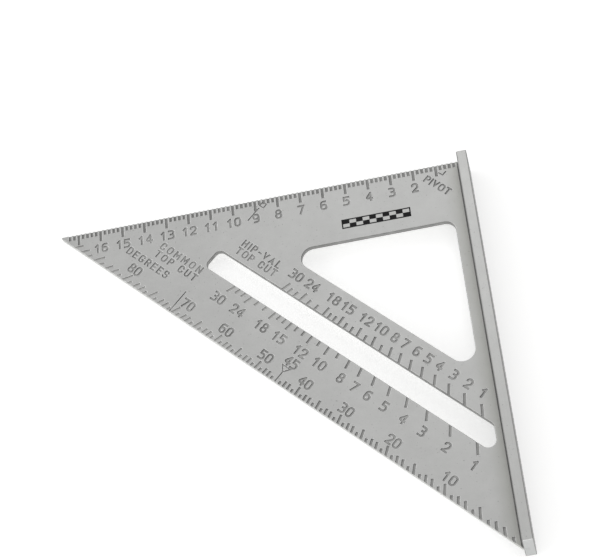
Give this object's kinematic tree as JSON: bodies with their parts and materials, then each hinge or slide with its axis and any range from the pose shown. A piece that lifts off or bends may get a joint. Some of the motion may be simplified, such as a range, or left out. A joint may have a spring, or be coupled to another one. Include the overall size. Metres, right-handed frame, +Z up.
{
  "type": "speed square",
  "caption": "Triangular carpenter's square with a T-shaped fence along one leg, a sunk ruler, degree and rafter scales, and a triangular window and a slanted slot.",
  "frame": {"origin": "the pivot: on the fence's inner face, 0.5 mm inside the ruler edge, on the blade's underside", "axes": "+Z up out of the graduated face, the fence runs along -Y, the ruler edge runs along -X"},
  "size_m": [0.1823, 0.1783, 0.017],
  "materials": {
    "blade_aluminium": "satin cast aluminium, fine grained, with darker recessed marks",
    "fence_aluminium": "satin cast aluminium, edges rubbed bright"
  },
  "bodies": {
    "root": {"blade": "blade_aluminium", "fence": "fence_aluminium"}
  },
  "joints": []
}
